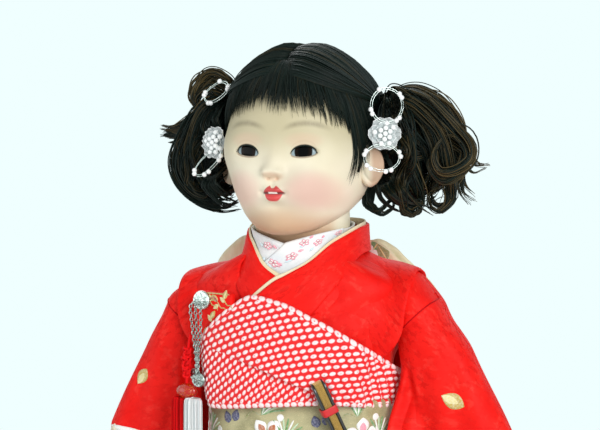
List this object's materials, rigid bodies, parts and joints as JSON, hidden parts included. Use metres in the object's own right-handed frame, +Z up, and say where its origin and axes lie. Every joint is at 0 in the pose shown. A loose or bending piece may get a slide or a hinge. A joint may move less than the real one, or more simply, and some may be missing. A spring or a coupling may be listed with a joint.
{
  "type": "ichimatsu doll",
  "caption": "Standing Japanese play doll in a long-sleeved red kimono with brocade sash, tie-dyed bustle cloth, curled hair bunches, fan and pocket case; head and arms turn.",
  "frame": {"origin": "on the floor under the middle of the doll's outline", "axes": "+Z up; the doll faces -Y; +X is the doll's left-hand side"},
  "size_m": [0.2276, 0.106, 0.4191],
  "materials": {
    "shell_white": "shell-white coat, matte",
    "eye_glass": "polished dark glass",
    "hair": "combed black hair",
    "petal_film": "clear film with a faint sheen",
    "pearl": "pearly lustre",
    "silver": "silver plate",
    "wood": "bare",
    "under_silk": "white silk crepe",
    "cream_silk": "plain silk",
    "red_silk": "figured satin",
    "dyed_silk": "tie-dyed crepe",
    "brocade": "woven brocade",
    "black_lacquer": "lacquer",
    "gold_paper": "gold face",
    "red_paper": "plain",
    "red_thread": "silk cord",
    "white_thread": "silk thread",
    "white_cotton": "plain cotton"
  },
  "bodies": {
    "body": {"torso": "wood", "left_shoulder_pin": "wood", "right_shoulder_pin": "wood", "left_leg": "shell_white", "right_leg": "shell_white", "left_sock": "white_cotton", "right_sock": "white_cotton", "left_sandal": "red_silk", "right_sandal": "red_silk", "left_sandal_strap": "brocade", "right_sandal_strap": "brocade", "under_robe": "under_silk", "kimono_body": "red_silk", "under_collar": "under_silk", "trim_collar": "cream_silk", "kimono_collar": "red_silk", "sash": "brocade", "bustle_cloth": "dyed_silk", "sash_cord": "red_thread", "left_bow_wing": "brocade", "right_bow_wing": "brocade", "bow_knot": "brocade", "bow_tail": "brocade"},
    "head": {"head_shell": "shell_white", "neck_peg": "wood", "left_eye": "eye_glass", "right_eye": "eye_glass", "crown_hair": "hair", "fringe": "hair", "left_bunch": "hair", "right_bunch": "hair", "left_bunch_tie": "hair", "right_bunch_tie": "hair", "left_flower": "petal_film", "right_flower": "petal_film", "left_flower_pearls": "pearl", "right_flower_pearls": "pearl", "left_upper_loop": "silver", "right_upper_loop": "silver", "left_lower_loop": "silver", "right_lower_loop": "silver"},
    "left_arm": {"left_upper_arm": "white_cotton", "left_forearm": "shell_white", "left_sleeve": "red_silk"},
    "right_arm": {"right_upper_arm": "white_cotton", "right_forearm": "shell_white", "right_sleeve": "red_silk"},
    "fan": {"fan_leaf": "gold_paper", "fan_left_guard": "black_lacquer", "fan_right_guard": "black_lacquer", "fan_rivet": "silver", "fan_band": "red_paper"},
    "case": {"pocket_case": "red_silk", "silver_boss": "silver"},
    "chains": {"silver_chains": "silver", "silver_discs": "silver"},
    "tassels": {"tassel_cord": "red_thread", "tassel_bead": "red_thread", "red_tassel": "red_thread", "white_tassel": "white_thread"}
  },
  "joints": [
    {"name": "neck_turn", "type": "hinge", "parent": "body", "child": "head", "pos_m": [0, -0.00485, 0.297], "axis": [0, 0, 1], "range_deg": [-25, 25]},
    {"name": "left_shoulder", "type": "hinge", "parent": "body", "child": "left_arm", "pos_m": [0.056, -0.00485, 0.283], "axis": [-1, 0, 0], "range_deg": [-12, 45]},
    {"name": "right_shoulder", "type": "hinge", "parent": "body", "child": "right_arm", "pos_m": [-0.056, -0.00485, 0.283], "axis": [-1, 0, 0], "range_deg": [-12, 45]},
    {"name": "fan_slide", "type": "slide", "parent": "body", "child": "fan", "axis": [-0.329, -0.2918, 0.8981], "range_m": [0, 0.045]},
    {"name": "case_slide", "type": "slide", "parent": "body", "child": "case", "axis": [0, 0, 1], "range_m": [0, 0.02]},
    {"name": "chains_swing", "type": "hinge", "parent": "case", "child": "chains", "pos_m": [-0.04462, -0.03872, 0.27582], "axis": [-1, 0, 0], "range_deg": [0, 35]},
    {"name": "tassels_swing", "type": "hinge", "parent": "case", "child": "tassels", "pos_m": [-0.05009, -0.04054, 0.265], "axis": [-1, 0, 0], "range_deg": [0, 35]}
  ]
}
